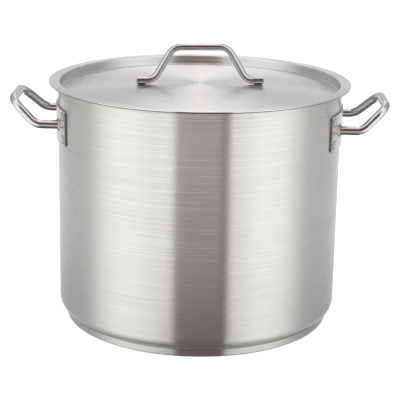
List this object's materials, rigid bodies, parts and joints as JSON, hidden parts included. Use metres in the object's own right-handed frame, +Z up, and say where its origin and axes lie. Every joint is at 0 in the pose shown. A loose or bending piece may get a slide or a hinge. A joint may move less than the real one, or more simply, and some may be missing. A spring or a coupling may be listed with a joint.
{
  "type": "stock pot",
  "caption": "Straight-sided steel stock pot with an encapsulated base, looped bar handles on riveted plates, and a flanged lift-off lid with a bar handle.",
  "frame": {"origin": "centre of the base's underside, on the surface that the pot stands on", "axes": "+Z up; the side handles lie along X, one at each end; -Y is the front"},
  "size_m": [0.425, 0.3402, 0.3142],
  "materials": {
    "shell_steel": "fine circumferential brushing, satin",
    "base_steel": "fine brushed side, turned underside",
    "base_aluminium": "plain rolled, sealed in the base",
    "lid_steel": "circular brushing, satin",
    "handle_steel": "bright polished stainless bar",
    "lid_handle_steel": "polished bar with fine lengthwise lines",
    "plate_steel": "half-bright pressed sheet with faint heat tint by the welds",
    "rivet_steel": "half-bright headed steel",
    "weld_metal": "rippled weld bead, lightly tinted"
  },
  "bodies": {
    "pot": {"pot_shell": "shell_steel", "base_core": "base_aluminium", "base_cap": "base_steel", "plate_left": "plate_steel", "plate_right": "plate_steel", "side_handle_left": "handle_steel", "side_handle_right": "handle_steel", "weld_left_front": "weld_metal", "weld_left_rear": "weld_metal", "weld_right_front": "weld_metal", "weld_right_rear": "weld_metal", "rivet_left_front_upper": "rivet_steel", "rivet_left_front_lower": "rivet_steel", "rivet_left_rear_upper": "rivet_steel", "rivet_left_rear_lower": "rivet_steel", "rivet_right_front_upper": "rivet_steel", "rivet_right_front_lower": "rivet_steel", "rivet_right_rear_upper": "rivet_steel", "rivet_right_rear_lower": "rivet_steel"},
    "lid": {"lid_pan": "lid_steel", "lid_handle": "lid_handle_steel", "lid_weld_left": "weld_metal", "lid_weld_right": "weld_metal"}
  },
  "joints": [
    {"name": "lid_lift", "type": "slide", "parent": "pot", "child": "lid", "axis": [0, 0, 1], "range_m": [0, 0.35]}
  ]
}
